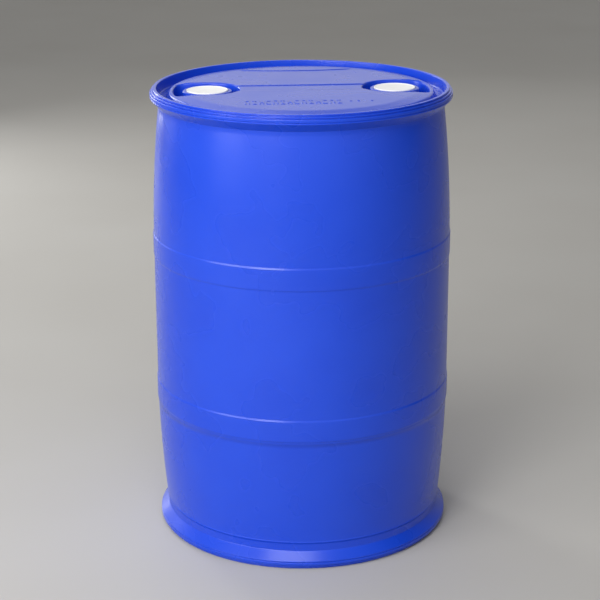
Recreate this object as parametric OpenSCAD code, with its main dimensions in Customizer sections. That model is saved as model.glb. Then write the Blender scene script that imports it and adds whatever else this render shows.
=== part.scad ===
// Tight-head plastic drum with a moulded L-shaped handling ring at each end and two screwed bungs.
// Units are millimetres, +Z is up and the drum stands on Z = 0 with its axis on the Z axis.
// The two bungs lie on the X axis: the fill bung at -X and the vent bung at +X.

/* [Drum] */
// Overall height, foot to the top of the upper ring
drum_h = 882; // [700:1:1100]
// Overall diameter, across the flange of a handling ring. Every inset below is measured in from it, per side.
drum_d = 581; // [480:1:700]
// Wall thickness
wall_t = 4; // [2.5:0.1:4.8]

/* [Barrel] */
// Inset of the straight middle of the barrel
barrel_inset = 0.3; // [0.2:0.1:1]
// Height of the straight middle of the barrel
straight_h = 270; // [150:1:340]
// Inset of the crease between barrel and shoulder
shoulder_inset = 14; // [11:0.5:15]

/* [Rolling hoops] */
// Height of the centre of the upper hoop above the drum's middle
upper_hoop_up = 137.5; // [110:0.5:170]
// Depth of the centre of the lower hoop below the drum's middle
lower_hoop_down = 158; // [125:0.5:190]
// Width of a hoop
hoop_w = 45; // [30:1:55]
// How far a hoop stands out of the barrel
hoop_rise = 1.3; // [0.8:0.1:1.8]

/* [Handling rings] */
// Inset of the ridge at the very end
ridge_inset = 6.5; // [5:0.5:8]
// Thickness of the ring, between its bore and the ridge
ring_t = 6.7; // [5.5:0.1:8.1]
// Height of the flange face that a lifter grips
flange_face_h = 6; // [4:0.5:8]
// Depth of the middle of the flange face below the end of the drum
flange_drop = 12.6; // [11.5:0.1:15.2]
// Inset of the root of the sloping flank under the flange
flank_inset = 13.5; // [11:0.5:16.5]
// Depth of the flank root below the end of the drum
flank_drop = 28.6; // [24:0.1:34.5]
// Inset of the neck between flank and shoulder
neck_inset = 16.9; // [14:0.1:20.4]
// Depth of the middle of the neck
neck_drop = 37; // [35:0.5:44.5]
// Depth of the shoulder crease below the end of the drum
shoulder_drop = 51; // [47:0.5:61.5]

/* [Heads] */
// Drop of the head below the end of the drum
head_drop = 4; // [3:0.5:8]
// Thickness of the head
head_t = 5; // [4:0.5:6]
// Inset of the flat of the head
head_flat_inset = 68.5; // [57:0.5:82.5]
// Inset of the head at the top of its rounded edge
head_edge_inset = 36.5; // [30.5:0.5:44]
// Depth of the channel between head and ring, below the end of the drum
channel_drop = 22; // [18:0.5:26.5]
// Inset of the inner side of the channel floor
channel_inset = 27.5; // [23:0.5:33]
// Fall of the head from its flat to its rounded edge
head_fall = 3.5; // [2:0.5:3.5]

/* [Bung wells] */
// Inset of a bung's axis
bung_inset = 110.5; // [92:0.5:133]
// Radius of the well around its bung
well_r = 62; // [52:0.5:75]
// Depth of the well floor below the head
well_depth = 27; // [22.5:0.5:32.5]
// Inset of the inner face of the dam, the rim that closes a well
dam_inset = 45.5; // [38:0.5:55]
// Height of the low ledge on the rear of the head
ledge_rise = 1; // [0.5:0.1:1.5]
// Inset of the ledge's front edge at its middle
ledge_inset = 116.5; // [97:0.5:140]
// Radius to which the ledge's front edge is bowed
ledge_bow_r = 545; // [400:5:700]
// Width of the shallow channel that joins the wells
drain_w = 52; // [43:1:63]
// Depth of that channel
drain_depth = 1.2; // [0.8:0.1:2]

/* [Bung necks] */
// Width of the land, from the larger thread to the wall of the seat
seat_w = 10.6; // [8.8:0.1:12.8]
// Wall of the collar round the seat
collar_t = 6.9; // [5.7:0.1:8.3]
// Drop of the collar's top below the end of the drum
collar_drop = 7.6; // [6.3:0.1:9.2]
// Wall of the threaded sleeve
sleeve_t = 4.45; // [3.7:0.05:5.4]
// How far the sleeve runs past the skirt of its plug
sleeve_over = 6.6; // [5.5:0.1:8]

/* [Bung plugs] */
// Major diameter of the fill bung's buttress thread
fill_thread_d = 56; // [46.5:0.5:67.5]
// Pitch of the fill bung's thread
fill_pitch = 4; // [3.3:0.1:4.8]
// Turns of thread on the fill bung
fill_turns = 4; // [3:0.5:4]
// Major diameter of the vent bung's pipe thread
vent_thread_d = 59.6; // [49.5:0.1:71.6]
// Pitch of the vent bung's thread
vent_pitch = 2.309; // [1.9:0.001:2.8]
// Turns of thread on the vent bung
vent_turns = 6; // [4:0.5:7.5]
// Thickness of a plug's flange
plug_flange_t = 6.2; // [5:0.1:7.5]
// Length of a plug's threaded skirt below its flange
skirt_l = 22; // [18:0.5:26.5]
// Least wall between the wrench pocket and the root of a plug's thread
pocket_wall = 3.75; // [3.1:0.05:4.5]
// Depth of the wrench pocket
pocket_depth = 16; // [13:0.5:19.5]
// Major diameter of the pipe thread of the small plug
small_thread_d = 26.4; // [22:0.1:31.7]
// Pitch of the small plug's thread
small_pitch = 1.814; // [1.5:0.001:2.2]
// Turns of thread on the small plug
small_turns = 5; // [4:0.5:6]
// Width of the small plug's flange beyond its thread
small_flange_w = 3.8; // [3.1:0.1:4.6]
// Flange thickness of the small plug
small_flange_t = 4; // [3.3:0.1:4.8]

/* [Gaskets] */
// Thickness of a bung gasket
gasket_t = 3; // [2.5:0.1:3.6]
// Inset of a bung gasket's edge from the edge of its plug's flange
gasket_inset = 1.1; // [0.9:0.1:1.4]
// Thickness of the small plug's gasket
small_gasket_t = 2; // [1.6:0.1:2.4]

/* [Cap seals] */
// Drop of a cap seal's top below the end of the drum
cap_drop = 6; // [5:0.1:7.2]
// Height of a cap seal's skirt
cap_h = 8; // [6.5:0.5:9.5]
// Wall thickness of a cap seal
cap_t = 1.2; // [0.8:0.1:1.5]
// Height of the raised lip around its disc
cap_lip = 0.6; // [0.4:0.1:0.8]

/* [Clearances] */
// Radial and axial gap between mating threads
thread_gap = 0.5; // [0.4:0.01:0.6]
// Gap between a plug and the cap seal above it
cap_gap = 0.4; // [0.3:0.05:0.5]
// Gap between a plug's flange and the skirt of its cap seal
flange_gap = 0.4; // [0.3:0.05:0.5]
// Gap between a cap seal and the wall of its seat
cap_seat_gap = 0.7; // [0.5:0.05:0.9]

/* [Hidden] */
$fn = 64;

drum_r = drum_d / 2;
barrel_side_r = drum_r - barrel_inset;
shoulder_r = drum_r - shoulder_inset;
ridge_r = drum_r - ridge_inset;
ring_bore_r = ridge_r - ring_t;
flank_root_r = drum_r - flank_inset;
neck_r = drum_r - neck_inset;
head_flat_r = drum_r - head_flat_inset;
head_edge_r = drum_r - head_edge_inset;
channel_inner_r = drum_r - channel_inset;
dam_inner_r = drum_r - dam_inset;
ledge_y = drum_r - ledge_inset;
bung_x = drum_r - bung_inset;
arc_steps = 10;
over = 1;                     // how far a cutting body runs past the face it cuts
crest_share = 0.28;           // width of a thread's crest as a share of its pitch
base_share = 0.46;            // width of a thread's base as a share of its pitch
bite = 0.5;                   // how far a thread's base is sunk in its wall
chords = 24;                  // straight stretches in one turn of thread

cap_top = drum_h - cap_drop;
cap_disc_top = cap_top - cap_lip;
plug_top = cap_disc_top - cap_t - cap_gap;
gasket_top = plug_top - plug_flange_t;
land_z = gasket_top - gasket_t;
skirt_low = gasket_top - skirt_l;
sleeve_z = skirt_low - sleeve_over;
well_floor_z = drum_h - head_drop - well_depth;
small_top = plug_top - cap_gap;
small_flange_low = small_top - small_flange_t;
small_land = small_flange_low - small_gasket_t;
small_low = plug_top - pocket_depth - 6;

large_thread_d = max(fill_thread_d, vent_thread_d);
seat_d = large_thread_d + 2 * seat_w;
collar_d = seat_d + 2 * collar_t;
sleeve_d = large_thread_d + thread_gap + 2 * sleeve_t;
cap_d = seat_d - 2 * cap_seat_gap;
plug_flange_d = cap_d - 2 * (cap_t + flange_gap);
gasket_d = plug_flange_d - 2 * gasket_inset;
small_flange_d = small_thread_d + 2 * small_flange_w;
pocket_d = 2 * (min(core_r(fill_thread_d, fill_pitch), core_r(vent_thread_d, vent_pitch)) - pocket_wall);

blue = "royalblue";
white = "whitesmoke";
black = "dimgray";

// Depth of a thread that has this pitch
function thread_depth(pitch) = min(1.5, 0.44 * pitch);

// Points of an arc round (cx, cy), as [x, y]
function arc(cx, cy, r, from, to, steps = arc_steps) =
    [for (i = [0:steps]) let (a = from + (to - from) * i / steps) [cx + r * cos(a), cy + r * sin(a)]];

// Radius of the curved part of the barrel at a height above the drum's middle
function barrel_r(up) =
    let (run = drum_h / 2 - shoulder_drop - straight_h / 2, fall = barrel_side_r - shoulder_r)
    barrel_side_r - fall * pow(max(0, up - straight_h / 2) / run, 2);

// Outline of one end of the drum, outside, from the barrel to the middle of the head.
// Each point is [radius, depth below the end].
function end_outline() = let (
        face_low = flange_drop + flange_face_h / 2,
        face_high = flange_drop - flange_face_h / 2,
        step_r = (ridge_r + drum_r) / 2
    ) concat(
        [[neck_r + 0.8, neck_drop + 5]],
        [[neck_r, neck_drop]],
        [[flank_root_r, flank_drop]],
        [[drum_r - 1.2, face_low + 1.6]],
        [[drum_r, face_low]],
        [[drum_r, face_high]],
        [[drum_r - 1.2, face_high - 1.6]],
        [[step_r + 0.4, face_high - 2]],
        [[step_r, face_high - 5]],
        [[step_r - 1.2, face_high - 6.2]],
        [[ridge_r, face_high - 6.6]],
        arc(ridge_r - 2.2, 2.2, 2.2, 0, -90, 4),
        arc(ring_bore_r + 2, 2, 2, -90, -180, 4),
        arc(ring_bore_r - 4, channel_drop - 4, 4, 0, 90, 4),
        arc(channel_inner_r, channel_drop - 4, 4, 90, 155, 4),
        arc(head_edge_r - 4, head_drop + head_fall + 4, 4, 0, -70, 4),
        [[head_flat_r, head_drop]]
    );

// The same for the inside, behind the head and the ring
function end_inline() = [
    [neck_r - wall_t + 0.8, neck_drop + 5],
    [neck_r - wall_t, neck_drop],
    [neck_r - wall_t, channel_drop + head_t + 2],
    [neck_r - wall_t - 2, channel_drop + head_t],
    [channel_inner_r - head_t + 1, channel_drop + head_t],
    [channel_inner_r - head_t - 4, channel_drop + head_t - 4],
    [head_edge_r - head_t, head_drop + head_fall + head_t + 3],
    [head_edge_r - head_t - 3, head_drop + head_fall + head_t],
    [head_flat_r, head_drop + head_t]
];

// Right half of the barrel above the middle, as [radius, height above the middle]
function barrel_side(inset) = let (
        reach = drum_h / 2 - shoulder_drop,
        start = straight_h / 2
    ) [for (i = [0:arc_steps]) let (up = start + (reach - start) * i / arc_steps) [barrel_r(up) - inset, up]];

function upper_half(outline, inset) = concat(
    [for (p = barrel_side(inset)) [p[0], drum_h / 2 + p[1]]],
    [for (p = outline) [p[0], drum_h - p[1]]]
);

function mirrored(points) = [for (i = [len(points) - 1:-1:0]) [points[i][0], drum_h - points[i][1]]];

// A closed solid of revolution with the same outline at both ends
module turned(outline, inset, end_depth) {
    half = upper_half(outline, inset);
    rotate_extrude($fn = 180)
        polygon(concat([[0, end_depth]], mirrored(half), half, [[0, drum_h - end_depth]]));
}

// Hoop whose centre lies at a height above the drum's middle. It follows the barrel at both its edges.
module hoop(up) {
    half_w = hoop_w / 2;
    low_r = barrel_r(abs(up - half_w));
    high_r = barrel_r(abs(up + half_w));
    translate([0, 0, drum_h / 2 + up])
        rotate_extrude($fn = 180)
            polygon([
                [low_r - wall_t / 2, -half_w], [low_r - 0.5, -half_w], [low_r + hoop_rise, 2 - half_w],
                [high_r + hoop_rise, half_w - 2], [high_r - 0.5, half_w], [high_r - wall_t / 2, half_w]
            ]);
}

// Plan of a well: round at its inner end and closed by the dam. Grows all round by the given amount.
module well_plan(side, grow) {
    intersection() {
        union() {
            translate([side * bung_x, 0])
                circle(r = well_r + grow);
            translate([side * (bung_x + well_r), 0])
                square([2 * well_r, 2 * (well_r + grow)], center = true);
        }
        circle(r = dam_inner_r + grow, $fn = 180);
    }
}

// Tub that carries the well below the head. It ends inside the thickness of the head, which falls outwards.
module well_tub(side) {
    low = well_floor_z - head_t;
    high = drum_h - head_drop - (head_fall + head_t) / 2;
    translate([0, 0, low])
        linear_extrude(high - low)
            well_plan(side, head_t);
}

module well_cut(side) {
    translate([0, 0, well_floor_z])
        linear_extrude(well_depth + over)
            well_plan(side, 0);
}

// Moulded collar, seat and sleeve of one bung neck
module neck_body() {
    top = drum_h - collar_drop;
    r = collar_d / 2;
    rotate_extrude()
        polygon(concat(
            [[seat_d / 2 - over, well_floor_z - head_t / 2], [r, well_floor_z - head_t / 2]],
            arc(r - 3, top - 3, 3, 0, 90, 5),
            [[seat_d / 2 - over, top]]
        ));
    translate([0, 0, land_z - 4.5])
        cylinder(d = seat_d, h = 4.5);
    translate([0, 0, sleeve_z])
        cylinder(d = sleeve_d, h = land_z - sleeve_z);
}

module neck_cut(bore_d) {
    translate([0, 0, land_z])
        cylinder(d = seat_d, h = drum_h - land_z);
    translate([0, 0, sleeve_z - over])
        cylinder(d = bore_d, h = drum_h - sleeve_z);
}

// Space behind the collar, open to the inside of the drum
module neck_hollow() {
    low = well_floor_z - head_t - over;
    translate([0, 0, low])
        difference() {
            cylinder(d = collar_d - 2 * wall_t, h = land_z - 4.5 - low);
            translate([0, 0, -over])
                cylinder(d = sleeve_d, h = well_depth + head_t + 3 * over);
        }
}

// Opening in the well's floor that the sleeve stands in
module sleeve_opening() {
    translate([0, 0, well_floor_z - head_t - over])
        cylinder(d = sleeve_d - over, h = head_t + 2 * over);
}

// Ring of points of a thread's ridge at one step of its helix: two on the base, two on the crest
function ridge_ring(i, base_r, crest_r, pitch, z) = let (
        a = 360 * i / chords,
        zc = z + pitch * i / chords
    ) [
        [base_r * cos(a), base_r * sin(a), zc - pitch * base_share / 2],
        [crest_r * cos(a), crest_r * sin(a), zc - pitch * crest_share / 2],
        [crest_r * cos(a), crest_r * sin(a), zc + pitch * crest_share / 2],
        [base_r * cos(a), base_r * sin(a), zc + pitch * base_share / 2]
    ];

// Helical ridge of a right-hand thread. A crest inside its base makes an internal thread.
module helix(base_r, crest_r, pitch, turns, z) {
    steps = round(turns * chords);
    points = [for (i = [0:steps]) each ridge_ring(i, base_r, crest_r, pitch, z)];
    inward = crest_r < base_r;
    sides = [
        for (i = [0:steps - 1], k = [0:3]) let (
            a = 4 * i + k,
            b = 4 * i + (k + 1) % 4
        ) each (inward ? [[a, b + 4, b], [a, a + 4, b + 4]] : [[a, b, b + 4], [a, b + 4, a + 4]])
    ];
    last = 4 * steps;
    ends = inward
        ? [[0, 1, 2, 3], [last + 3, last + 2, last + 1, last]]
        : [[3, 2, 1, 0], [last, last + 1, last + 2, last + 3]];
    polyhedron(points = points, faces = concat(sides, ends));
}

// Thread on a plug: its crest is at the major diameter less half the gap
module male_thread(major_d, pitch, turns, z) {
    crest = major_d / 2 - thread_gap / 2;
    helix(crest - thread_depth(pitch) - bite, crest, pitch, turns, z);
}

// Radius of the plain core under a male thread
function core_r(major_d, pitch) = major_d / 2 - thread_gap / 2 - thread_depth(pitch);

// Radius of the wall that carries a female thread
function bore_r(major_d) = major_d / 2 + thread_gap / 2;

module female_thread(major_d, pitch, turns, z) {
    wall_r = bore_r(major_d);
    helix(wall_r + bite, wall_r - thread_depth(pitch), pitch, turns, z + pitch / 2);
}

module drum_shell() {
    color(blue) {
        difference() {
            union() {
                difference() {
                    turned(end_outline(), 0, head_drop);
                    turned(end_inline(), wall_t, head_drop + head_t);
                }
                hoop(upper_hoop_up);
                hoop(-lower_hoop_down);
                well_tub(-1);
                well_tub(1);
                rear_ledge();
                pinch_seam();
            }
            well_cut(-1);
            well_cut(1);
            drain_cut();
            for (side = [-1, 1])
                translate([side * bung_x, 0, 0]) {
                    neck_hollow();
                    sleeve_opening();
                }
        }
        translate([-bung_x, 0, 0])
            neck(fill_thread_d, fill_pitch);
        translate([bung_x, 0, 0])
            neck(vent_thread_d, vent_pitch);
    }
}

// One neck. Its thread runs from the plug's lowest turn to just below the land.
module neck(thread_d, pitch) {
    start = skirt_low + pitch;
    room = land_z - thread_gap - start - pitch * (1 + base_share) / 2;
    difference() {
        neck_body();
        neck_cut(2 * bore_r(thread_d));
        neck_hollow();
    }
    female_thread(thread_d, pitch, floor(room / pitch * chords) / chords, start);
}

// Low segment on the rear of the head, with a front edge that bows towards the drum's axis
module rear_ledge() {
    translate([0, 0, drum_h - head_drop - over])
        linear_extrude(over + ledge_rise)
            intersection() {
                circle(r = head_flat_r, $fn = 180);
                translate([0, ledge_y + ledge_bow_r])
                    circle(r = ledge_bow_r, $fn = 180);
            }
}

module drain_cut() {
    translate([0, 0, drum_h - head_drop - drain_depth + 5])
        cube([2 * bung_x, drain_w, 10], center = true);
}

// Weld line left by the mould across the bottom head
module pinch_seam() {
    translate([0, 0, head_drop + 0.5])
        cube([2 * head_flat_r, 4, 3], center = true);
}

module gasket(outer_d, inner_d, low, t) {
    translate([0, 0, low])
        difference() {
            cylinder(d = outer_d, h = t);
            translate([0, 0, -over])
                cylinder(d = inner_d, h = t + 2 * over);
        }
}

// Flange and threaded skirt of a plug, without its pocket
module plug_blank(thread_d, pitch, turns) {
    translate([0, 0, gasket_top])
        cylinder(d = plug_flange_d, h = plug_top - gasket_top);
    translate([0, 0, skirt_low])
        cylinder(r = core_r(thread_d, pitch), h = skirt_l + over);
    male_thread(thread_d, pitch, turns, skirt_low + pitch);
}

module wrench_pocket() {
    translate([0, 0, plug_top - pocket_depth])
        cylinder(d = pocket_d, h = pocket_depth + over);
}

// Two opposite ribs in the pocket, where the bung wrench bears
module wrench_ribs(rib_l) {
    rib_w = 7;
    for (side = [-1, 1])
        translate([side * (pocket_d / 2 - rib_l / 2 + over / 2), 0, plug_top - pocket_depth / 2 - 2])
            cube([rib_l + over, rib_w, pocket_depth - 2], center = true);
}

// Hollow under the pocket's floor, open at the foot of the skirt
module skirt_hollow(thread_d, pitch) {
    floor_t = 3;
    low = skirt_low - over;
    translate([0, 0, low])
        cylinder(r = core_r(thread_d, pitch) - 3, h = max(over, plug_top - pocket_depth - floor_t - low));
}

module fill_gasket() {
    color(black)
        translate([-bung_x, 0, 0])
            gasket(gasket_d, fill_thread_d + 2 * thread_gap, land_z, gasket_t);
}

module fill_plug() {
    color(white)
        translate([-bung_x, 0, 0]) {
            difference() {
                plug_blank(fill_thread_d, fill_pitch, fill_turns);
                wrench_pocket();
                skirt_hollow(fill_thread_d, fill_pitch);
            }
            wrench_ribs(rib_l = 9);
        }
}

module cap_seal() {
    difference() {
        translate([0, 0, cap_top - cap_h])
            cylinder(d = cap_d, h = cap_h);
        translate([0, 0, cap_top - cap_h - over])
            cylinder(d = cap_d - 2 * cap_t, h = cap_h + over - cap_lip - cap_t);
        translate([0, 0, cap_disc_top])
            cylinder(d = cap_d - 4 * cap_t, h = cap_lip + over);
    }
}

module fill_cap_seal() {
    color(white)
        translate([-bung_x, 0, 0])
            cap_seal();
}

module vent_gasket() {
    color(black)
        translate([bung_x, 0, 0])
            gasket(gasket_d, vent_thread_d + 2 * thread_gap, land_z, gasket_t);
}

module vent_plug() {
    boss_d = small_flange_d + 3;
    color(white)
        translate([bung_x, 0, 0]) {
            difference() {
                union() {
                    difference() {
                        plug_blank(vent_thread_d, vent_pitch, vent_turns);
                        wrench_pocket();
                        skirt_hollow(vent_thread_d, vent_pitch);
                    }
                    translate([0, 0, small_low])
                        cylinder(d = boss_d, h = small_land - small_low);
                }
                translate([0, 0, small_low - over])
                    cylinder(r = bore_r(small_thread_d), h = pocket_depth + 6 + 2 * over);
            }
            female_thread(small_thread_d, small_pitch, small_turns, small_low + 2 * small_pitch);
            wrench_ribs(rib_l = (pocket_d - small_flange_d) / 2 - 2 * thread_gap);
        }
}

module small_gasket() {
    color(black)
        translate([bung_x, 0, 0])
            gasket(small_flange_d - 1, small_thread_d + 2 * thread_gap, small_land, small_gasket_t);
}

module small_plug() {
    key = 12;
    key_depth = 7;
    color(white)
        translate([bung_x, 0, 0]) {
            difference() {
                union() {
                    translate([0, 0, small_flange_low])
                        cylinder(d = small_flange_d, h = small_flange_t);
                    translate([0, 0, small_low])
                        cylinder(r = core_r(small_thread_d, small_pitch), h = small_flange_low - small_low + over);
                }
                translate([0, 0, small_top - key_depth / 2 + over / 2])
                    cube([key, key, key_depth + over], center = true);
            }
            male_thread(small_thread_d, small_pitch, small_turns, small_low + 2 * small_pitch);
        }
}

module vent_cap_seal() {
    color(white)
        translate([bung_x, 0, 0])
            cap_seal();
}

drum_shell();
fill_gasket();
fill_plug();
fill_cap_seal();
vent_gasket();
vent_plug();
small_gasket();
small_plug();
vent_cap_seal();
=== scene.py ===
import math

import bmesh
import bpy
from mathutils import Matrix, Vector, geometry, noise


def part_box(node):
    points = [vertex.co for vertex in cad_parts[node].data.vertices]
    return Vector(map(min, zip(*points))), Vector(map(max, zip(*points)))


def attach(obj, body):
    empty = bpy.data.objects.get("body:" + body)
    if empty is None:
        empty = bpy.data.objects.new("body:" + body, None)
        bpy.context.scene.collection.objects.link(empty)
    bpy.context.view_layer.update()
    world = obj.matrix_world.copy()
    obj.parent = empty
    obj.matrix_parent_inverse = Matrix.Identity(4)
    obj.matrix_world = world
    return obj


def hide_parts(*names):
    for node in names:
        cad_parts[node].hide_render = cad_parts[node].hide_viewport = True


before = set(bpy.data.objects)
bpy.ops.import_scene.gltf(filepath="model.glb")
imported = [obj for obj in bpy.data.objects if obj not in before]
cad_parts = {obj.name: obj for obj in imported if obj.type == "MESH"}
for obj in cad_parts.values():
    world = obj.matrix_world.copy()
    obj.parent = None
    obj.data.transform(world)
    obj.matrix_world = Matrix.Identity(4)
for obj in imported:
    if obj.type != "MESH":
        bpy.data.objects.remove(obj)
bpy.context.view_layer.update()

# ---------------------------------------------------------------- drum shell
# The drum itself: one blow-moulded piece of blue high-density polyethylene. Barrel, both heads, both
# handling rings and the two bung necks are all the same moulding, so every edge on it is rounded.

MM = 0.001
drum_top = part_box("drum_shell")[1][2]
bung_x = (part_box("vent_plug")[0][0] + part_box("vent_plug")[1][0]) / 2

# barrel
barrel_r = 290.2 * MM
shoulder_r = 276.5 * MM
straight_half = 135 * MM
shoulder_drop = 51 * MM
wall = 4 * MM
# hoops
hoop_centres = (578.5 * MM, 283 * MM)
hoop_width = 45 * MM
hoop_rise = 1.3 * MM
# heads and wells, as drops below the end of the drum
head_wall = 5 * MM
head_under = 9 * MM
head_flat_r = 222 * MM
channel_drop = 22 * MM
channel_under = channel_drop + head_wall
well_r = 62 * MM
well_floor_drop = 31 * MM
dam_inner = 245 * MM
# bung necks
collar_r = 47.3 * MM
collar_top_drop = 7.6 * MM
seat_r = 40.4 * MM
land_drop = 17.4 * MM
sleeve_r = 34.5 * MM
sleeve_drop = 43 * MM


def rounded(corners, steps=5):
    """Points of an outline whose corners (across, up, fillet) are rounded with arcs."""
    points = [corners[0][:2]]
    for before, (x, y, fillet), after in zip(corners, corners[1:], corners[2:]):
        corner = Vector((x, y))
        back = Vector(before[:2]) - corner
        ahead = Vector(after[:2]) - corner
        turn = back.angle(ahead)
        if fillet <= 0 or turn > math.radians(179):
            points.append((x, y))
            continue
        run = min(fillet / math.tan(turn / 2), 0.49 * min(back.length, ahead.length))
        start = corner + back.normalized() * run
        end = corner + ahead.normalized() * run
        for i in range(steps + 1):
            t = i / steps
            bend = start * (1 - t) ** 2 + corner * 2 * t * (1 - t) + end * t ** 2
            points.append((bend.x, bend.y))
    points.append(corners[-1][:2])
    return points


def ring(bm, count, place):
    """A closed loop of vertices, one at each angle that place() is asked for."""
    return [bm.verts.new(place(2 * math.pi * i / count)) for i in range(count)]


def join_rings(bm, rings):
    for a, b in zip(rings, rings[1:]):
        for i in range(len(a)):
            j = (i + 1) % len(a)
            bm.faces.new((a[i], a[j], b[j], b[i]))


def turned(bm, outline, centre=(0, 0), count=96, push=None):
    """Turns an outline of (radius, height) round an upright axis. push(angle, r, z) moves a point out."""
    rings = []
    for r, z in outline:
        def place(a, r=r, z=z):
            rr = r + (push(a, r, z) if push else 0)
            return (centre[0] + rr * math.cos(a), centre[1] + rr * math.sin(a), z)
        rings.append(ring(bm, count, place))
    join_rings(bm, rings)
    return rings


def finished(bm, name, material, smooth_angle=None):
    """Turns a bmesh into a smooth-shaded object with one material."""
    bmesh.ops.remove_doubles(bm, verts=bm.verts, dist=1e-6)
    bmesh.ops.recalc_face_normals(bm, faces=bm.faces)
    mesh = bpy.data.meshes.new(name)
    bm.to_mesh(mesh)
    bm.free()
    for face in mesh.polygons:
        face.use_smooth = True
    if smooth_angle:
        mesh.set_sharp_from_angle(angle=math.radians(smooth_angle))
    obj = bpy.data.objects.new(name, mesh)
    bpy.context.scene.collection.objects.link(obj)
    mesh.materials.append(material)
    return obj


def srgb(code):
    """Linear colour of an sRGB hex value such as '#2a52e0'."""
    parts = [int(code[i:i + 2], 16) / 255 for i in (1, 3, 5)]
    return [c / 12.92 if c <= 0.04045 else ((c + 0.055) / 1.055) ** 2.4 for c in parts] + [1.0]


def add(tree, kind, settings=None, **links):
    """Adds a node with its settings; links and values go to the inputs of those names."""
    made = tree.nodes.new(kind)
    for key, value in (settings or {}).items():
        setattr(made, key, value)
    for key, value in links.items():
        name = key.replace("_", " ")
        socket = next(s for s in made.inputs if s.name == name and s.enabled)
        if isinstance(value, bpy.types.NodeSocket):
            tree.links.new(value, socket)
        else:
            socket.default_value = value
    return made


def new_material(name):
    material = bpy.data.materials.new(name)
    material.use_nodes = True
    material.node_tree.nodes.clear()
    return material, material.node_tree


def blow_moulded_hdpe():
    """High-density polyethylene from a blow mould: saturated blue, waxy half gloss, faint orange peel and
    shallow ripples where the hot skin met the cold mould, with dulled patches from handling."""
    material, tree = new_material("blow_moulded_hdpe")
    spot = add(tree, "ShaderNodeTexCoord").outputs["Object"]
    scuffs = add(tree, "ShaderNodeTexNoise", Vector=spot, Scale=1 / (110 * MM), Detail=2.0, Roughness=0.5)
    tint = add(tree, "ShaderNodeValToRGB", Fac=scuffs.outputs["Fac"])
    tint.color_ramp.elements[0].position = 0.3
    tint.color_ramp.elements[0].color = srgb("#0e41cb")
    tint.color_ramp.elements[1].position = 0.75
    tint.color_ramp.elements[1].color = srgb("#1245cf")
    dull = add(tree, "ShaderNodeMapRange", Value=scuffs.outputs["Fac"])
    dull.inputs["From Min"].default_value = 0.3
    dull.inputs["From Max"].default_value = 0.75
    dull.inputs["To Min"].default_value = 0.26
    dull.inputs["To Max"].default_value = 0.30
    peel = add(tree, "ShaderNodeTexNoise", Vector=spot, Scale=1 / (4 * MM), Detail=2.0)
    ripple = add(tree, "ShaderNodeTexNoise", Vector=spot, Scale=1 / (90 * MM), Detail=1.0)
    fine = add(tree, "ShaderNodeBump", Strength=0.12, Distance=0.15 * MM, Height=peel.outputs["Fac"])
    coarse = add(tree, "ShaderNodeBump", Strength=0.35, Distance=0.8 * MM, Height=ripple.outputs["Fac"],
                 Normal=fine.outputs["Normal"])
    shader = add(tree, "ShaderNodeBsdfPrincipled", Base_Color=tint.outputs["Color"],
                 Roughness=dull.outputs["Result"], IOR=1.53, Normal=coarse.outputs["Normal"])
    add(tree, "ShaderNodeOutputMaterial", Surface=shader.outputs["BSDF"])
    return material


def barrel_radius(up):
    """Radius of the barrel at a height above its middle: straight there, drawn in to the shoulders."""
    reach = drum_top / 2 - shoulder_drop - straight_half
    past = max(0.0, abs(up) - straight_half) / reach
    return barrel_r - (barrel_r - shoulder_r) * past ** 2


# One end of the drum, from the shoulder's crease round the ring to its bore, as (radius, drop, fillet).
end_corners = [
    (277 * MM, 52.6 * MM, 0.6 * MM),
    (277.5 * MM, 51 * MM, 0.7 * MM),
    (275.3 * MM, 46.5 * MM, 2 * MM),
    (274.5 * MM, 32.3 * MM, 2 * MM),
    (290.3 * MM, 17.2 * MM, 0.9 * MM),
    (290.3 * MM, 15.4 * MM, 0.5 * MM),
    (288.8 * MM, 14.5 * MM, 0.4 * MM),
    (290.5 * MM, 13.4 * MM, 0.8 * MM),
    (290.5 * MM, 8.1 * MM, 1.6 * MM),
    (286.8 * MM, 7.9 * MM, 0.3 * MM),
    (286.6 * MM, 6.9 * MM, 0.3 * MM),
    (288 * MM, 6.4 * MM, 0.8 * MM),
    (287.8 * MM, 3.9 * MM, 1.2 * MM),
    (283.4 * MM, 3.7 * MM, 0.3 * MM),
    (283 * MM, 2.8 * MM, 0.3 * MM),
    (284.2 * MM, 2.1 * MM, 0.6 * MM),
    (284 * MM, 0, 1.8 * MM),
    (277.3 * MM, 0, 2 * MM),
    (277 * MM, channel_drop, 5 * MM),
]
# The upper shoulder runs straight up into the root of the flank, with no neck of its own.
top_corners = [(274.9 * MM, 32.6 * MM, 0.7 * MM)] + end_corners[4:]
# The head, from the channel's floor to its middle.
head_corners = [
    (260 * MM, channel_drop, 5 * MM),
    (252.6 * MM, 7.6 * MM, 6 * MM),
    (head_flat_r, 4 * MM, 60 * MM),
    (1 * MM, 4 * MM, 0),
]
channel_join_r = 266 * MM
inner_join_r = 258 * MM


def ripples(a, r, z):
    """Shallow unevenness of the blown barrel, always inwards."""
    if not shoulder_drop < z < drum_top - shoulder_drop or r < shoulder_r - wall:
        return 0
    fade = min(1, (z - shoulder_drop) / (60 * MM), (drum_top - shoulder_drop - z) / (60 * MM))
    n = noise.noise(Vector((2.2 * math.cos(a), 2.2 * math.sin(a), z * 7)))
    return -0.35 * MM * fade * (1 + n) / 2


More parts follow.
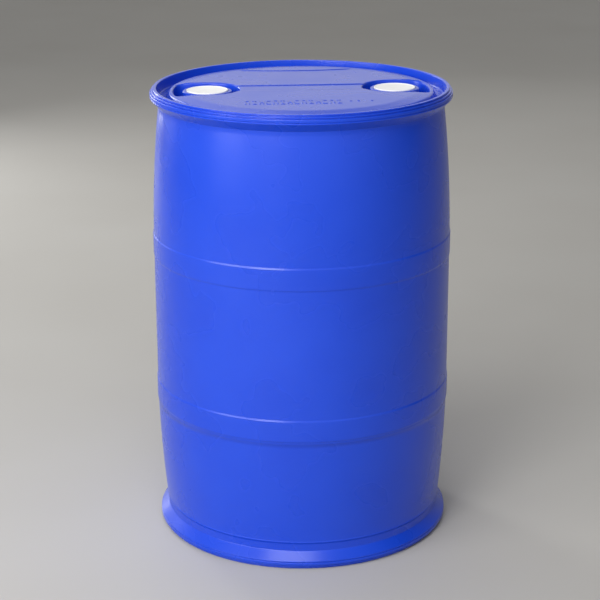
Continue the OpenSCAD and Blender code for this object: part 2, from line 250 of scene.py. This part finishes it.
def side_outline():
    """Outside of the drum from the lower channel, round both rings, to the upper channel."""
    half = drum_top / 2
    steps = 48
    join = [(channel_join_r, channel_drop, 0)]
    reach = half - shoulder_drop - 4 * MM
    lower = rounded([(barrel_radius(reach), half - reach, 0)] + end_corners + join)
    top_reach = half - 34.5 * MM
    upper = rounded([(barrel_radius(top_reach), half - top_reach, 0)] + top_corners + join)
    low_curve = [(barrel_radius(u), half + u) for u in (-reach + reach * i / steps for i in range(steps))]
    high_curve = [(barrel_radius(u), half + u) for u in (top_reach * i / steps for i in range(steps + 1))]
    barrel = low_curve + high_curve
    for centre in hoop_centres:
        foot = hoop_width / 2
        edge = foot - 3.2 * MM
        r0 = barrel_r
        r1 = barrel_r + hoop_rise
        hoop = rounded([
            (r0, centre - foot - 4 * MM, 0), (r0, centre - foot, 0.7 * MM), (r1, centre - edge, 0.9 * MM),
            (r1, centre + edge, 0.9 * MM), (r0, centre + foot, 0.7 * MM), (r0, centre + foot + 4 * MM, 0),
        ])
        below = [p for p in barrel if p[1] < centre - foot - 4 * MM]
        above = [p for p in barrel if p[1] > centre + foot + 4 * MM]
        barrel = below + [(r, z) for r, z in hoop] + above
    lower_end = [(r, d) for r, d in reversed(lower)]
    upper_end = [(r, drum_top - d) for r, d in upper]
    return lower_end[:-1] + barrel + upper_end[1:]


def inside_outline():
    """The same on the inside."""
    upper = rounded([
        (shoulder_r - wall, shoulder_drop, 0), (269.6 * MM, 37 * MM, 4 * MM),
        (269.6 * MM, channel_under, 3 * MM),
        (inner_join_r, channel_under, 0),
    ])
    half = drum_top / 2
    reach = half - shoulder_drop
    steps = 24
    ups = [reach * i / steps for i in range(-steps, steps + 1)]
    barrel = [(barrel_radius(u) - wall, half + u) for u in ups]
    return [(r, d) for r, d in reversed(upper)][:-1] + barrel + [(r, drum_top - d) for r, d in upper][1:]


def along(line, x):
    """Height of a line of (x, y) points at x, where x runs downwards along the line."""
    for (x0, y0), (x1, y1) in zip(line, line[1:]):
        if x1 <= x <= x0:
            return y0 + (y1 - y0) * (x0 - x) / (x0 - x1) if x0 > x1 else y1
    return line[-1][1] if x < line[-1][0] else line[0][1]


def smooth_max(a, b, k):
    h = max(k - abs(a - b), 0) / k
    return max(a, b) + h * h * k / 4


def step(t):
    t = min(1, max(0, t))
    return t * t * (3 - 2 * t)


def slot_distance(x, y):
    """Distance outside the nearer well's round-ended slot, which runs out to the rim. Negative inside."""
    u = abs(x) - bung_x
    return (math.hypot(u, y) if u < 0 else abs(y)) - well_r


def pool_distance(x, y):
    """The same for the well itself, which the dam closes."""
    return smooth_max(slot_distance(x, y), math.hypot(x, y) - dam_inner, 16 * MM)


channel_floor = [(channel_join_r + 4 * MM, channel_drop, 0), (channel_join_r, channel_drop, 0)]
outer_line = rounded(channel_floor + head_corners, 8)
inner_line = rounded([
    (inner_join_r + 4 * MM, channel_under, 0), (inner_join_r - 1 * MM, channel_under, 3 * MM),
    (248.5 * MM, 13.5 * MM, 5 * MM), (head_flat_r, head_under, 20 * MM), (1 * MM, head_under, 0),
], 8)

ledge_y = 174 * MM
ledge_bow = 545 * MM
ledge_rise = 1 * MM
drain_half = 26 * MM
drain_depth = 1.2 * MM
step_width = 2 * MM


def outer_drop(x, y):
    """Drop of the top of the head below the end of the drum."""
    r = math.hypot(x, y)
    drop = along(outer_line, r)
    # low ledge at the rear
    back = ledge_bow - math.hypot(x, y - ledge_y - ledge_bow)
    flat = step((head_flat_r - r) / (4 * MM))
    drop -= ledge_rise * step(back / step_width) * flat
    # shallow drain channel between the wells
    drop += drain_depth * step((drain_half - abs(y)) / step_width) * flat
    # the skin sags a little between the stiff parts
    drop += 0.25 * MM * flat * (1 + noise.noise(Vector((x * 9, y * 9, 3.1))))
    return drop


def inner_drop(x, y):
    return along(inner_line, math.hypot(x, y))


def pool_radius(side, a, level):
    """Distance from the bung's axis, in a direction, to where the well's distance reaches a level."""
    near, far = 0.0, 110 * MM
    for _ in range(36):
        mid = (near + far) / 2
        inside = pool_distance(side * bung_x + mid * math.cos(a), mid * math.sin(a)) < level
        near, far = (mid, far) if inside else (near, mid)
    return near


def well_rings(bm, side, profile, drop_at, count):
    """Rings from the head's surface down a well's wall, one for each (level, drop past the head, drop)."""
    outer_level = profile[0][0]
    rings = []
    for level, past, drop in profile:
        def place(a):
            edge = pool_radius(side, a, outer_level)
            x0 = side * bung_x + edge * math.cos(a)
            y0 = edge * math.sin(a)
            surface = drop_at(x0, y0)
            rho = pool_radius(side, a, level)
            d = surface + past if drop is None else drop
            return (side * bung_x + rho * math.cos(a), rho * math.sin(a), drum_top - d)
        rings.append(ring(bm, count, place))
    join_rings(bm, rings)
    return rings


def head_sheet(bm, rim, wells, drop_at, radii, spacing):
    """Fills between the rim and the wells' outer rings with triangles that follow the head's height."""
    loops = [rim] + wells
    points = []
    edges = []
    for loop in loops:
        base = len(points)
        points += [Vector(v.co.xy) for v in loop]
        edges += [(base + i, base + (i + 1) % len(loop)) for i in range(len(loop))]
    fixed = [v for loop in loops for v in loop]
    clear = 1.2 * MM
    rim_r = rim[0].co.xy.length

    def free(x, y, level):
        return math.hypot(x, y) < rim_r - clear and pool_distance(x, y) > level

    level = well_edge_level(wells)
    for r in radii:
        n = len(rim)
        for i in range(n):
            a = 2 * math.pi * i / n
            x, y = r * math.cos(a), r * math.sin(a)
            if free(x, y, level + clear):
                points.append(Vector((x, y)))
    half = int(rim_r / spacing) + 1
    inner_limit = min(radii) - spacing / 2
    for i in range(-half, half + 1):
        for j in range(-half, half + 1):
            x = (i + 0.5 * (j % 2)) * spacing
            y = j * spacing * 0.866
            if math.hypot(x, y) < inner_limit and free(x, y, level + spacing * 0.4):
                points.append(Vector((x, y)))
    for line in feature_lines() if drop_at is outer_drop else []:
        for x, y in line:
            if math.hypot(x, y) < inner_limit and free(x, y, level + clear):
                points.append(Vector((x, y)))
    verts, _, faces, origins, _, _ = geometry.delaunay_2d_cdt(points, edges, [], 0, 1e-7)
    made = []
    for co, origin in zip(verts, origins):
        known = [o for o in origin if o < len(fixed)]
        made.append(fixed[known[0]] if known else bm.verts.new((co.x, co.y, drum_top - drop_at(co.x, co.y))))
    for face in faces:
        middle = sum((verts[i] for i in face), Vector((0, 0))) / len(face)
        if pool_distance(middle.x, middle.y) > level and middle.length < rim_r:
            corners = [made[i] for i in face]
            if len(set(corners)) == len(corners):
                bm.faces.new(corners)


def well_edge_level(wells):
    """Level of the wells' outer rings."""
    co = wells[0][0].co
    return pool_distance(co.x, co.y) - 1e-5


def feature_lines():
    """Lines of points along the ledge's front edge and the drain's sides, where the head bends sharply."""
    lines = []
    for part in (0, 0.33, 0.67, 1):
        inward = part * step_width
        r = ledge_bow - inward
        cy = ledge_y + ledge_bow
        angles = [math.radians(-90 + k * 0.4) for k in range(-60, 61)]
        lines.append([(r * math.cos(a), cy + r * math.sin(a)) for a in angles])
        for side in (-1, 1):
            y = side * (drain_half - inward)
            lines.append([(x * 4 * MM, y) for x in range(-60, 61)])
    return lines


def thread_push(pitch, depth, z_low, z_high, z_start, sign):
    """Push of a right-hand screw thread: a rounded ridge that climbs one pitch a turn between two heights."""
    def push(a, r, z):
        phase = ((z - z_start) / pitch - a / (2 * math.pi)) % 1.0
        away = abs(phase - 0.5) * 2
        ridge = step((away - 0.46) / 0.28)
        fade = step((z - z_low) / (0.6 * pitch)) * step((z_high - z) / (0.6 * pitch))
        return sign * depth * ridge * fade
    return push


def neck_rings(bm, side, bore_r, pitch, depth, z_start, count):
    """Collar, seat, land, threaded bore and sleeve of one neck, as one run of rings round its bung's axis."""
    def up(drop):
        return drum_top - drop

    floor = well_floor_drop
    hollow_r = collar_r - wall
    outside = rounded([
        (collar_r + 5 * MM, up(floor), 0), (collar_r, up(floor), 3 * MM),
        (collar_r, up(collar_top_drop), 3 * MM), (seat_r, up(collar_top_drop), 0.8 * MM),
        (seat_r, up(land_drop), 0.6 * MM), (bore_r, up(land_drop), 0.6 * MM),
        (bore_r, up(land_drop + 1 * MM), 0),
    ])
    bore = [(bore_r, up(land_drop + 1 * MM + 0.25 * MM * i)) for i in range(1, 99)]
    bore = [p for p in bore if p[1] > up(sleeve_drop - 0.6 * MM)]
    under = rounded([
        (bore_r, up(sleeve_drop - 0.5 * MM), 0), (bore_r, up(sleeve_drop), 1 * MM),
        (sleeve_r, up(sleeve_drop), 1 * MM), (sleeve_r, up(land_drop + 4.5 * MM), 2 * MM),
        (hollow_r, up(land_drop + 4.5 * MM), 2 * MM), (hollow_r, up(floor + head_wall), 1 * MM),
        (hollow_r + 5 * MM, up(floor + head_wall), 0),
    ])
    thread = thread_push(pitch, depth, up(sleeve_drop - 2 * MM), up(land_drop + 1 * MM), z_start, -1)

    def push(a, r, z):
        in_bore = abs(r - bore_r) < 1e-6 and up(sleeve_drop - 0.6 * MM) < z < up(land_drop)
        return thread(a, r, z) if in_bore else 0

    return turned(bm, outside + bore + under, (side * bung_x, 0), count, push)


def bar(bm, centre, size, angle, edge=0.35):
    """A small bar with its edges rounded off, turned by an angle about the vertical."""
    made = bmesh.ops.create_cube(bm, size=1)["verts"]
    bmesh.ops.scale(bm, vec=size, verts=made)
    edges = list({e for v in made for e in v.link_edges})
    soft = bmesh.ops.bevel(bm, geom=edges, offset=edge * min(size), segments=2, profile=0.5, affect="EDGES")
    made = list({v for f in soft["faces"] for v in f.verts} | {v for v in made if v.is_valid})
    bmesh.ops.rotate(bm, cent=(0, 0, 0), matrix=Matrix.Rotation(angle, 3, "Z"), verts=made)
    bmesh.ops.translate(bm, vec=centre, verts=made)


def raised_marks(bm):
    """A row of plain raised bars on the front of the head, three dots beyond it and one scratch's burr."""
    pitch = 13 * MM
    tall = 30 * MM
    stroke = 2.4 * MM
    for i in range(14):
        x = -108 * MM + i * pitch
        y = -147 * MM
        top, foot = (0, tall / 2), (0, -tall / 2)
        ends = ([top], [top, foot], [(0, 0)], [top, foot])[i % 4]
        sides = ((-3.5, 3.5), (0,), (-3.5, 3.5), (-3.5,))[i % 4]
        for offset in sides:
            place = (x + offset * MM, y, drum_top - outer_drop(x + offset * MM, y))
            bar(bm, place, (stroke, tall, 1.4 * MM), 0)
        for dx, dy in ends:
            place = (x + dx, y + dy * 0.92, drum_top - outer_drop(x + dx, y + dy * 0.92))
            bar(bm, place, (8 * MM, stroke, 1.4 * MM), 0)
    for x in (83 * MM, 97 * MM, 122 * MM):
        bar(bm, (x, -140 * MM, drum_top - outer_drop(x, -140 * MM)), (4 * MM, 9 * MM, 1.4 * MM), 0)
    scratch = (116 * MM, 174 * MM, drum_top - outer_drop(116 * MM, 174 * MM))
    bar(bm, scratch, (0.9 * MM, 58 * MM, 0.6 * MM), 0.1)


# The plugs' levels and threads, which the necks' own threads follow.
cap_drop = 6 * MM
cap_lip = 0.6 * MM
cap_wall = 1.2 * MM
cap_gap = 0.4 * MM
gasket_thick = 3 * MM
plug_top = drum_top - cap_drop - cap_lip - cap_wall - cap_gap
land_z = drum_top - land_drop
gasket_top = land_z + gasket_thick
skirt_low = gasket_top - 22 * MM
fill_pitch = 4 * MM
fill_depth = 1.5 * MM
fill_bore_r = 28.25 * MM
vent_pitch = 2.309 * MM
vent_depth = 1.02 * MM
vent_bore_r = 30.05 * MM


def drum_shell():
    bm = bmesh.new()
    around = 288
    well_count = 180
    outside = turned(bm, side_outline(), count=around, push=ripples)
    # lower head, plain and slightly falling to its edge like the upper one
    foot = [(r, d) for r, d in outer_line if r <= channel_join_r]
    lower = turned(bm, foot, count=around)
    bm.faces.new(lower[-1])
    inner = turned(bm, inside_outline(), count=around)
    inner_foot = [(r, d) for r, d in inner_line if r <= inner_join_r]
    lower_in = turned(bm, [(inner_join_r, channel_under)] + inner_foot, count=around)
    bm.faces.new(lower_in[-1])

    edge = 3.5 * MM
    arc = [math.radians(15 * i) for i in range(7)]
    top_edge = [(edge * (1 - math.sin(t)), edge * (1 - math.cos(t)), None) for t in arc]
    foot_r = 4 * MM
    draft = 2.5 * MM
    wall_foot = [(-draft - foot_r * (1 - math.cos(t)), None, well_floor_drop - foot_r * (1 - math.sin(t)))
                 for t in arc]
    wells = []
    wells_in = []
    for side in (-1, 1):
        rings = well_rings(bm, side, top_edge + wall_foot, outer_drop, well_count)
        wells.append(rings[0])
        under = [(head_wall, 0, None), (head_wall - 0.2 * MM, None, 30 * MM),
                 (head_wall - 1.5 * MM, None, well_floor_drop + head_wall - 0.4 * MM),
                 (head_wall - 4 * MM, None, well_floor_drop + head_wall)]
        rings_in = well_rings(bm, side, under, inner_drop, well_count)
        wells_in.append(rings_in[0])
        if side < 0:
            bore_r, pitch, depth = fill_bore_r, fill_pitch, fill_depth
        else:
            bore_r, pitch, depth = vent_bore_r, vent_pitch, vent_depth
        neck = neck_rings(bm, side, bore_r, pitch, depth, skirt_low + 1.5 * pitch, well_count)
        join_rings(bm, [rings[-1], neck[0]])
        join_rings(bm, [rings_in[-1], neck[-1]])
    ring_radii = [r * MM for r in (264, *range(262, 249, -1), 248, 245, 241, 236, 230, 224, 218)]
    head_sheet(bm, outside[-1], wells, outer_drop, ring_radii, 7 * MM)
    inner_radii = [r * MM for r in (256, 254, 252, 250, 248, 244, 238, 230, 222)]
    head_sheet(bm, inner[-1], wells_in, inner_drop, inner_radii, 25 * MM)
    small = bmesh.new()
    raised_marks(small)
    bar(small, (0, 0, 3.9 * MM), (436 * MM, 3.2 * MM, 1.6 * MM), 0)
    loose = bpy.data.meshes.new("small_relief")
    small.to_mesh(loose)
    small.free()
    bm.from_mesh(loose)
    bpy.data.meshes.remove(loose)
    return finished(bm, "shell_skin", blow_moulded_hdpe(), 50)


shell = drum_shell()
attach(shell, "shell")
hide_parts("drum_shell")

# ---------------------------------------------------------------- cap seals
# One white polyethylene cap over each bung, injection moulded and pressed on by hand. It hides the bung and
# shows whether the drum has been opened. A low lip runs round its flat disc.

cap_r = 39.7 * MM


def moulded(name, dark, light, roughness, grain):
    """Injection-moulded plastic: nearly even colour, fine gloss variation and a faint grain."""
    material, tree = new_material(name)
    spot = add(tree, "ShaderNodeTexCoord").outputs["Object"]
    cloud = add(tree, "ShaderNodeTexNoise", Vector=spot, Scale=1 / (18 * MM), Detail=3.0)
    tint = add(tree, "ShaderNodeValToRGB", Fac=cloud.outputs["Fac"])
    tint.color_ramp.elements[0].position = 0.35
    tint.color_ramp.elements[0].color = srgb(dark)
    tint.color_ramp.elements[1].position = 0.7
    tint.color_ramp.elements[1].color = srgb(light)
    gloss = add(tree, "ShaderNodeMapRange", Value=cloud.outputs["Fac"])
    gloss.inputs["To Min"].default_value = roughness - 0.06
    gloss.inputs["To Max"].default_value = roughness + 0.06
    fine = add(tree, "ShaderNodeTexNoise", Vector=spot, Scale=1 / (grain * MM), Detail=2.0)
    relief = add(tree, "ShaderNodeBump", Strength=0.15, Distance=0.1 * MM, Height=fine.outputs["Fac"])
    shader = add(tree, "ShaderNodeBsdfPrincipled", Base_Color=tint.outputs["Color"],
                 Roughness=gloss.outputs["Result"], IOR=1.5, Normal=relief.outputs["Normal"])
    add(tree, "ShaderNodeOutputMaterial", Surface=shader.outputs["BSDF"])
    return material


seal_white = moulded("seal_white_polyethylene", "#f6f6f4", "#fcfcfb", 0.38, 1.5)


def cap_seal(name, side):
    bm = bmesh.new()
    top = drum_top - cap_drop
    low = top - 8 * MM
    lip_r = cap_r - 2 * cap_wall
    outline = rounded([
        (0.5 * MM, top - cap_lip - cap_wall, 0), (cap_r - cap_wall, top - cap_lip - cap_wall, 0.8 * MM),
        (cap_r - cap_wall, low, 0.3 * MM), (cap_r, low, 0.3 * MM), (cap_r, top, 0.7 * MM),
        (lip_r, top, 0.5 * MM), (lip_r, top - cap_lip, 0.4 * MM), (0.5 * MM, top - cap_lip, 0),
    ])
    rings = turned(bm, outline, (side * bung_x, 0), 120)
    bm.faces.new(rings[0])
    bm.faces.new(rings[-1])
    return finished(bm, name, seal_white, 40)


fill_seal = cap_seal("fill_seal_skin", -1)
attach(fill_seal, "fill_seal")
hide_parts("fill_cap_seal")

vent_seal = cap_seal("vent_seal_skin", 1)
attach(vent_seal, "vent_seal")
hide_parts("vent_cap_seal")

# ---------------------------------------------------------------- fill bung
# Two-inch screwed plug of natural polyethylene, injection moulded with a coarse buttress thread, a wrench
# pocket with two ribs and a hollow skirt. It clamps its gasket on the neck's land.

plug_natural = moulded("plug_natural_polyethylene", "#dcdcd4", "#e9e9e3", 0.42, 2.0)
flange_r = 38.1 * MM
pocket_r = 22.5 * MM
pocket_floor = plug_top - 16 * MM
web = 3 * MM
fill_core_r = 26.25 * MM


def threaded(bm, outline, side, core, low, high, pitch, depth, start, count=120):
    """Turns an outline whose stretch at the core radius, between two heights, carries a male thread."""
    thread = thread_push(pitch, depth, low, high, start, 1)

    def push(a, r, z):
        return thread(a, r, z) if abs(r - core) < 1e-6 and low <= z <= high else 0

    return turned(bm, outline, (side * bung_x, 0), count, push)


def ladder(r, low, high, spacing=0.3 * MM):
    """Points up a straight wall, close enough together to carry a thread."""
    n = round((high - low) / spacing)
    return [(r, low + (high - low) * i / n) for i in range(n + 1)]


def wrench_ribs(bm, side, length):
    for hand in (-1, 1):
        x = side * bung_x + hand * (pocket_r - length / 2 + 0.5 * MM)
        bar(bm, (x, 0, plug_top - 10 * MM), (length + 1 * MM, 7 * MM, 14 * MM), 0, 0.12)


def fill_plug():
    bm = bmesh.new()
    inner = fill_core_r - web
    under = pocket_floor - web
    skirt = rounded([(0.5 * MM, under, 0), (inner, under, 1.5 * MM), (inner, skirt_low, 0.6 * MM),
                     (fill_core_r, skirt_low, 0.6 * MM), (fill_core_r, skirt_low + 2 * MM, 0)])
    wall = ladder(fill_core_r, skirt_low + 2 * MM, gasket_top - 0.6 * MM)
    head = rounded([(fill_core_r, gasket_top - 0.6 * MM, 0), (fill_core_r, gasket_top, 0.3 * MM),
                    (flange_r, gasket_top, 0.8 * MM), (flange_r, plug_top, 1 * MM),
                    (pocket_r, plug_top, 1 * MM), (pocket_r, pocket_floor, 1.5 * MM),
                    (0.5 * MM, pocket_floor, 0)])
    rings = threaded(bm, skirt + wall[1:-1] + head, -1, fill_core_r, skirt_low + 2 * MM,
                     gasket_top - 0.6 * MM, fill_pitch, fill_depth, skirt_low + fill_pitch)
    bm.faces.new(rings[0])
    bm.faces.new(rings[-1])
    wrench_ribs(bm, -1, 9 * MM)
    return finished(bm, "fill_plug_skin", plug_natural, 40)


fill_bung = fill_plug()
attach(fill_bung, "fill_bung")
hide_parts("fill_plug")

# ---------------------------------------------------------------- vent bung
# Two-inch plug with a pipe thread, of the same natural polyethylene. A threaded boss in its wrench pocket
# takes the small plug.

vent_core_r = vent_bore_r - vent_depth - 0.5 * MM
boss_r = 18.5 * MM
small_bore_r = 13.45 * MM
small_core_r = 12.15 * MM
small_pitch = 1.814 * MM
small_depth = 0.798 * MM
small_top = plug_top - cap_gap
small_flange_low = small_top - 4 * MM
small_land = small_flange_low - 2 * MM
small_low = pocket_floor - 6 * MM


def vent_plug():
    bm = bmesh.new()
    inner = vent_core_r - web
    under = pocket_floor - web
    foot = rounded([(small_bore_r, small_low + 1 * MM, 0), (small_bore_r, small_low, 0.4 * MM),
                    (boss_r, small_low, 0.8 * MM), (boss_r, under, 0.8 * MM), (inner, under, 1.5 * MM),
                    (inner, skirt_low, 0.6 * MM), (vent_core_r, skirt_low, 0.6 * MM),
                    (vent_core_r, skirt_low + 2 * MM, 0)])
    wall = ladder(vent_core_r, skirt_low + 2 * MM, gasket_top - 0.6 * MM)
    head = rounded([(vent_core_r, gasket_top - 0.6 * MM, 0), (vent_core_r, gasket_top, 0.3 * MM),
                    (flange_r, gasket_top, 0.8 * MM), (flange_r, plug_top, 1 * MM),
                    (pocket_r, plug_top, 1 * MM), (pocket_r, pocket_floor, 1.5 * MM),
                    (boss_r, pocket_floor, 1 * MM), (boss_r, small_land, 0.6 * MM),
                    (small_bore_r, small_land, 0.4 * MM), (small_bore_r, small_land - 1 * MM, 0)])
    bore = ladder(small_bore_r, small_low + 1 * MM, small_land - 1 * MM, 0.2 * MM)[::-1]
    male = thread_push(vent_pitch, vent_depth, skirt_low + 2 * MM, gasket_top - 0.6 * MM,
                       skirt_low + vent_pitch, 1)
    female = thread_push(small_pitch, small_depth, small_low + 1 * MM, small_land - 1 * MM,
                         small_low + 2.5 * small_pitch, -1)

    def push(a, r, z):
        if abs(r - vent_core_r) < 1e-6:
            return male(a, r, z)
        if abs(r - small_bore_r) < 1e-6:
            return female(a, r, z)
        return 0

    rings = turned(bm, foot + wall[1:-1] + head + bore[1:-1], (bung_x, 0), 120, push)
    join_rings(bm, [rings[-1], rings[0]])
    wrench_ribs(bm, 1, 4.5 * MM)
    return finished(bm, "vent_plug_skin", plug_natural, 40)


vent_bung = vent_plug()
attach(vent_bung, "vent_bung")
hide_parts("vent_plug")

# ---------------------------------------------------------------- small plug
# Three-quarter-inch plug in the vent bung, for a tap or vent. Natural polyethylene, with a square key hole.

small_flange_r = 17 * MM
key_half = 6 * MM
key_floor = small_top - 7 * MM


def key_hole(a, grow=0.0):
    """Radius of the square key hole in a direction, with its corners rounded."""
    c = abs(math.cos(a)) ** 9
    s = abs(math.sin(a)) ** 9
    return (key_half + grow) / (c + s) ** (1 / 9)


def small_plug():
    bm = bmesh.new()
    low = small_low
    skirt = rounded([(0.5 * MM, low, 0), (small_core_r, low, 0.8 * MM), (small_core_r, low + 1.5 * MM, 0)])
    wall = ladder(small_core_r, low + 1.5 * MM, small_flange_low - 0.4 * MM, 0.2 * MM)
    head = rounded([(small_core_r, small_flange_low - 0.4 * MM, 0),
                    (small_core_r, small_flange_low, 0.2 * MM), (small_flange_r, small_flange_low, 0.5 * MM),
                    (small_flange_r, small_top, 0.8 * MM), (10 * MM, small_top, 0)])
    rings = threaded(bm, skirt + wall[1:-1] + head, 1, small_core_r, low + 1.5 * MM,
                     small_flange_low - 0.4 * MM, small_pitch, small_depth, low + 2 * small_pitch)
    bm.faces.new(rings[0])
    hole = []
    for grow, z in ((0.5, small_top), (0.15, small_top - 0.15 * MM), (0, small_top - 0.5 * MM),
                    (0, key_floor + 0.4 * MM), (-0.4, key_floor)):
        def place(a, grow=grow, z=z):
            r = key_hole(a, grow * MM)
            return (bung_x + r * math.cos(a), r * math.sin(a), z)
        hole.append(ring(bm, 120, place))
    join_rings(bm, [rings[-1]] + hole)
    bm.faces.new(hole[-1])
    return finished(bm, "small_plug_skin", plug_natural, 40)


small_bung = small_plug()
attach(small_bung, "small_bung")
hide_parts("small_plug")

# ---------------------------------------------------------------- gaskets
# Three flat rings of black EPDM rubber, die cut, each clamped under the flange of its plug.


def die_cut_rubber():
    """Matt black rubber, a little dusty."""
    material, tree = new_material("gasket_epdm_rubber")
    spot = add(tree, "ShaderNodeTexCoord").outputs["Object"]
    dust = add(tree, "ShaderNodeTexNoise", Vector=spot, Scale=1 / (3 * MM), Detail=4.0)
    tint = add(tree, "ShaderNodeValToRGB", Fac=dust.outputs["Fac"])
    tint.color_ramp.elements[0].color = srgb("#141415")
    tint.color_ramp.elements[1].color = srgb("#232324")
    relief = add(tree, "ShaderNodeBump", Strength=0.3, Distance=0.1 * MM, Height=dust.outputs["Fac"])
    shader = add(tree, "ShaderNodeBsdfPrincipled", Base_Color=tint.outputs["Color"], Roughness=0.8,
                 Normal=relief.outputs["Normal"])
    add(tree, "ShaderNodeOutputMaterial", Surface=shader.outputs["BSDF"])
    return material


gasket_black = die_cut_rubber()


def gasket(name, side, inner, outer, low, high):
    bm = bmesh.new()
    edge = 0.3 * MM
    middle = (inner + outer) / 2
    outline = rounded([(middle, low, 0), (outer, low, edge), (outer, high, edge), (inner, high, edge),
                       (inner, low, edge), (middle, low, 0)], 3)
    rings = turned(bm, outline[:-1], (side * bung_x, 0), 96)
    join_rings(bm, [rings[-1], rings[0]])
    return finished(bm, name, gasket_black, 40)


fill_ring = gasket("fill_gasket_skin", -1, 28.5 * MM, 37 * MM, land_z, gasket_top)
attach(fill_ring, "fill_ring")
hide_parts("fill_gasket")

vent_ring = gasket("vent_gasket_skin", 1, 30.3 * MM, 37 * MM, land_z, gasket_top)
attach(vent_ring, "vent_ring")
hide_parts("vent_gasket")

small_ring = gasket("small_gasket_skin", 1, 13.7 * MM, 16.5 * MM, small_land, small_flange_low)
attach(small_ring, "small_ring")
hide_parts("small_gasket")

# ---------------------------------------------------------------- floor, lights and camera
# A plain studio floor, tall soft windows behind on the left, and soft light from above and the front left.


def pale_floor():
    material, tree = new_material("studio_floor")
    grain = add(tree, "ShaderNodeTexNoise", Scale=30.0)
    colour = add(tree, "ShaderNodeValToRGB", Fac=grain.outputs["Fac"])
    colour.color_ramp.elements[0].color = srgb("#b9b6b0")
    colour.color_ramp.elements[1].color = srgb("#c1bfba")
    shader = add(tree, "ShaderNodeBsdfPrincipled", Base_Color=colour.outputs["Color"], Roughness=0.7)
    add(tree, "ShaderNodeOutputMaterial", Surface=shader.outputs["BSDF"])
    bm = bmesh.new()
    bmesh.ops.create_grid(bm, x_segments=8, y_segments=8, size=9)
    return finished(bm, "floor", material)


floor = pale_floor()


def softbox(name, place, aim, width, height, power, tint="#ffffff"):
    light = bpy.data.lights.new(name, "AREA")
    light.shape = "RECTANGLE"
    light.size = width
    light.size_y = height
    light.energy = power
    light.color = srgb(tint)[:3]
    lamp = bpy.data.objects.new(name, light)
    lamp.location = place
    lamp.rotation_euler = (Vector(aim) - Vector(place)).to_track_quat("-Z", "Y").to_euler()
    bpy.context.scene.collection.objects.link(lamp)


def around(turn, distance, height):
    """A place round the drum, turned from the front towards the left."""
    return (-math.sin(math.radians(turn)) * distance, -math.cos(math.radians(turn)) * distance, height)


chest = (0, 0, 0.5)
softbox("window_left_rear", around(149, 3.8, 1.5), chest, 0.7, 2.6, 36)
softbox("window_left", around(125, 3.8, 1.5), chest, 0.9, 2.6, 6)
softbox("front_left", around(30, 3.8, 2.2), chest, 1.6, 1.6, 62)
softbox("left", around(60, 3.6, 1.9), chest, 1.6, 2.2, 46)
softbox("above_front", (-0.6, -2.0, 3.2), chest, 1.8, 1.8, 40)
softbox("above_rear", (-0.6, 2.4, 3.0), (0, 0, 0.8), 1.4, 1.4, 9)
softbox("rear_strip", (1.0, 4.6, 1.95), (0, 0, 0.88), 4.0, 1.3, 9)


def studio_surround():
    """Light from the walls: most from the front, less from the left and the rear, none from the right."""
    world = bpy.data.worlds.new("studio")
    bpy.context.scene.world = world
    world.use_nodes = True
    tree = world.node_tree
    spot = add(tree, "ShaderNodeTexCoord").outputs["Generated"]
    split = add(tree, "ShaderNodeSeparateXYZ", Vector=spot)
    total = None
    for axis, sign, strength in (("Y", -1, 0.75), ("Y", 1, 0.42), ("X", -1, 0.43)):
        part = add(tree, "ShaderNodeMapRange", Value=split.outputs[axis])
        part.inputs["From Min"].default_value = 0
        part.inputs["From Max"].default_value = sign
        part.inputs["To Min"].default_value = 0
        part.inputs["To Max"].default_value = strength
        if total is None:
            total = part.outputs["Result"]
            continue
        both = tree.nodes.new("ShaderNodeMath")
        both.operation = "ADD"
        tree.links.new(total, both.inputs[0])
        tree.links.new(part.outputs["Result"], both.inputs[1])
        total = both.outputs["Value"]
    tree.links.new(total, tree.nodes["Background"].inputs["Color"])


studio_surround()

# The camera stands 3.28 m in front of the drum and 1.5 m up, a little to the left of square-on.
camera_distance = 3.2768
camera_height = 1.4968
camera_round = math.radians(-3.6)
camera_down = math.radians(17.728)
camera_pan = math.radians(0.069)
camera_roll = math.radians(-0.238)
camera_data = bpy.data.cameras.new("camera")
camera_data.sensor_width = 36
camera_data.lens = 103.57
camera = bpy.data.objects.new("camera", camera_data)
bpy.context.scene.collection.objects.link(camera)
stand = Matrix.Rotation(camera_round, 4, "Z") @ Matrix.Translation((0, -camera_distance, camera_height))
aim = Matrix.Rotation(camera_pan, 4, "Z") @ Matrix.Rotation(math.pi / 2 - camera_down, 4, "X")
camera.matrix_world = stand @ aim @ Matrix.Rotation(camera_roll, 4, "Z")
bpy.context.scene.camera = camera
bpy.context.scene.view_settings.view_transform = "Standard"
